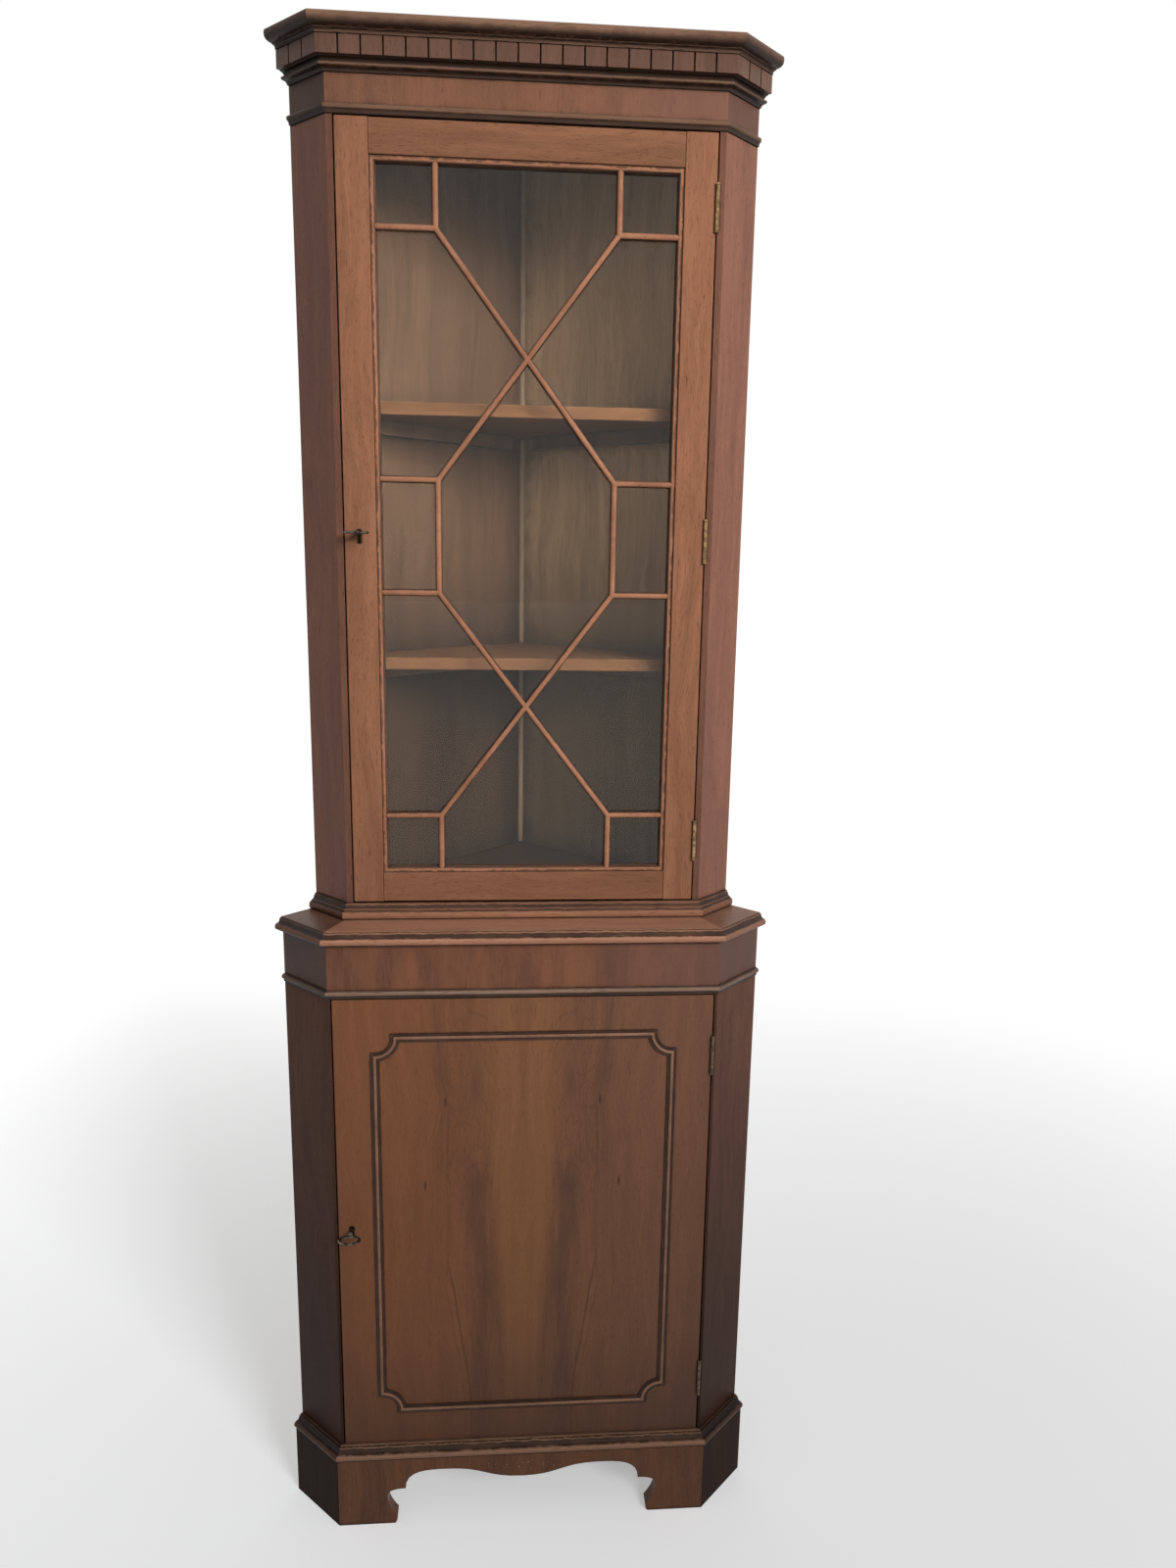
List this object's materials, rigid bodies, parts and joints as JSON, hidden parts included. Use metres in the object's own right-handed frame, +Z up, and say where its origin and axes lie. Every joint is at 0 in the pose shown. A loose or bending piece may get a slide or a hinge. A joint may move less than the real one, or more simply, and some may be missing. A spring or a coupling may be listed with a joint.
{
  "type": "corner cupboard",
  "caption": "Tall corner cupboard in two cases: a display case with a glazed lattice door over a cupboard with a panelled veneer door on a shaped plinth.",
  "frame": {"origin": "on the floor, at the middle of the cupboard's bounding box", "axes": "+Z up, the doors face -Y, +X to the right of someone who faces the doors; the corner where the walls meet is at +Y"},
  "size_m": [0.668, 0.425, 1.96],
  "materials": {
    "carcase_wood": "stained and waxed mahogany, satin",
    "moulding_wood": "stained mahogany, dark glaze in the hollows, satin",
    "veneer": "flame mahogany veneer, satin",
    "door_frame_wood": "straight-grained mahogany, satin",
    "shelf_wood": "stained, thin finish, dull",
    "back_wood": "dark stained board, dull",
    "brass": "dulled brass",
    "key_metal": "bronzed steel",
    "glass": "clear, smooth"
  },
  "bodies": {
    "root": {"lower_cant_left": "carcase_wood", "lower_cant_right": "carcase_wood", "upper_cant_left": "carcase_wood", "upper_cant_right": "carcase_wood", "upper_frieze": "carcase_wood", "base_board": "moulding_wood", "waist_board": "moulding_wood", "lower_astragal": "moulding_wood", "upper_astragal": "moulding_wood", "upper_base_moulding": "moulding_wood", "cornice": "moulding_wood", "dentil_band": "moulding_wood", "plinth_front": "veneer", "plinth_return_left": "veneer", "plinth_return_right": "veneer", "lower_frieze": "veneer", "lower_shelf": "shelf_wood", "upper_shelf_low": "shelf_wood", "upper_shelf_high": "shelf_wood", "upper_bottom_board": "shelf_wood", "rear_foot": "back_wood", "lower_back_left": "back_wood", "lower_back_right": "back_wood", "upper_back_left": "back_wood", "upper_back_right": "back_wood", "top_board": "back_wood", "lower_batten_left": "back_wood", "lower_batten_right": "back_wood", "upper_batten_low_left": "back_wood", "upper_batten_low_right": "back_wood", "upper_batten_high_left": "back_wood", "upper_batten_high_right": "back_wood", "lower_hinge_high_case_leaf": "brass", "lower_hinge_low_case_leaf": "brass", "upper_hinge_high_case_leaf": "brass", "upper_hinge_middle_case_leaf": "brass", "upper_hinge_low_case_leaf": "brass"},
    "upper_door": {"upper_stile_left": "door_frame_wood", "upper_stile_right": "door_frame_wood", "upper_rail_bottom": "door_frame_wood", "upper_rail_top": "door_frame_wood", "sash_moulding": "moulding_wood", "glazing_lattice": "moulding_wood", "glass_pane": "glass", "glass_bead": "door_frame_wood", "upper_lock": "brass", "upper_escutcheon": "brass", "upper_hinge_high_door_leaf": "brass", "upper_hinge_middle_door_leaf": "brass", "upper_hinge_low_door_leaf": "brass"},
    "lower_door": {"lower_door_panel": "veneer", "lower_door_moulding": "moulding_wood", "lower_lock": "brass", "lower_escutcheon": "brass", "lower_hinge_high_door_leaf": "brass", "lower_hinge_low_door_leaf": "brass"},
    "upper_key": {"upper_key": "key_metal"},
    "lower_key": {"lower_key": "key_metal"},
    "upper_bolt": {"upper_bolt": "brass"},
    "lower_bolt": {"lower_bolt": "brass"}
  },
  "joints": [
    {"name": "upper_door_hinge", "type": "hinge", "parent": "root", "child": "upper_door", "pos_m": [0.22725, -0.1221, 1.38825], "axis": [0, 0, 1], "range_deg": [0, 135]},
    {"name": "lower_door_hinge", "type": "hinge", "parent": "root", "child": "lower_door", "pos_m": [0.25275, -0.1791, 0.46125], "axis": [0, 0, 1], "range_deg": [0, 135]},
    {"name": "upper_key_turn", "type": "hinge", "parent": "upper_door", "child": "upper_key", "pos_m": [-0.2085, -0.1195, 1.39175], "axis": [0, -1, 0], "range_deg": [0, 180]},
    {"name": "lower_key_turn", "type": "hinge", "parent": "lower_door", "child": "lower_key", "pos_m": [-0.234, -0.1765, 0.46475], "axis": [0, -1, 0], "range_deg": [0, 180]},
    {"name": "upper_bolt_slide", "type": "slide", "parent": "upper_door", "child": "upper_bolt", "axis": [-1, 0, 0], "range_m": [0, 0.00652]},
    {"name": "lower_bolt_slide", "type": "slide", "parent": "lower_door", "child": "lower_bolt", "axis": [-1, 0, 0], "range_m": [0, 0.00652]}
  ],
  "couplings": [
    {"joint": "upper_bolt_slide", "follows": "upper_key_turn", "m_per_rad": 0.002069},
    {"joint": "lower_bolt_slide", "follows": "lower_key_turn", "m_per_rad": 0.002069}
  ]
}
